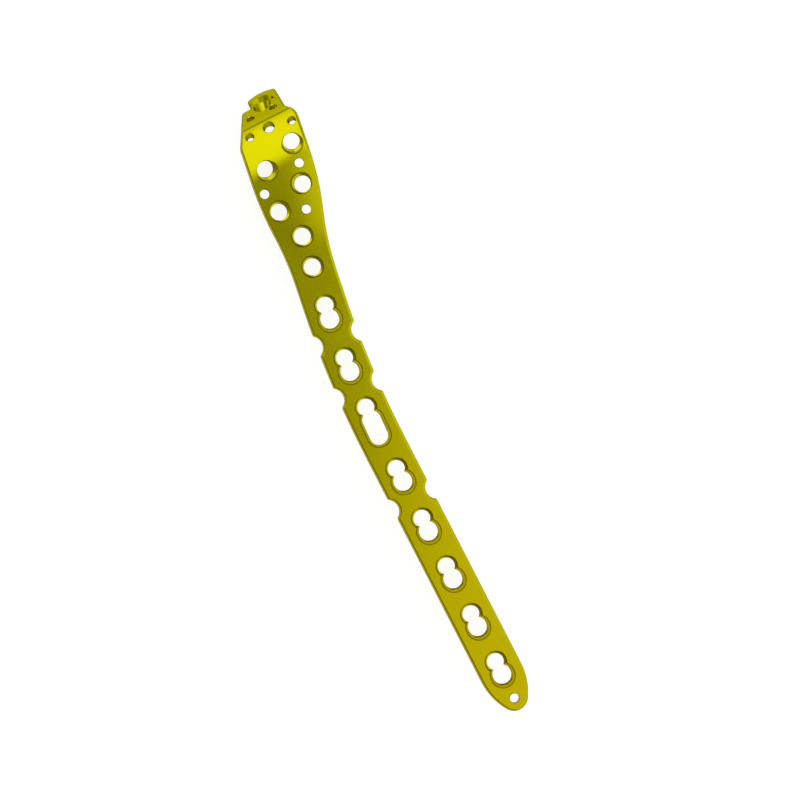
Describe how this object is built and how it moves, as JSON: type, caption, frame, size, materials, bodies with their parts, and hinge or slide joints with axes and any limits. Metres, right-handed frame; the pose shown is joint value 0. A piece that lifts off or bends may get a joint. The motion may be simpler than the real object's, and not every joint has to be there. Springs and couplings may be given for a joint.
{
  "type": "orthopedic bone plate",
  "caption": "Hooked, contoured bone plate with combination holes along a bent shaft, a flared head with locking holes and a folded hook.",
  "frame": {"origin": "on the axis of the first upright locking hole of the neck, halfway along its cylindrical land at the bone side", "axes": "+Z out of the screw side along the upright holes, +X along the straight shaft towards its bullet tip, +Y to the side that the head bends to"},
  "size_m": [0.1618, 0.0233, 0.0148],
  "materials": {
    "anodised_titanium": "satin, yellow anodised film"
  },
  "bodies": {
    "root": {"bone_plate": "anodised_titanium"}
  },
  "joints": []
}
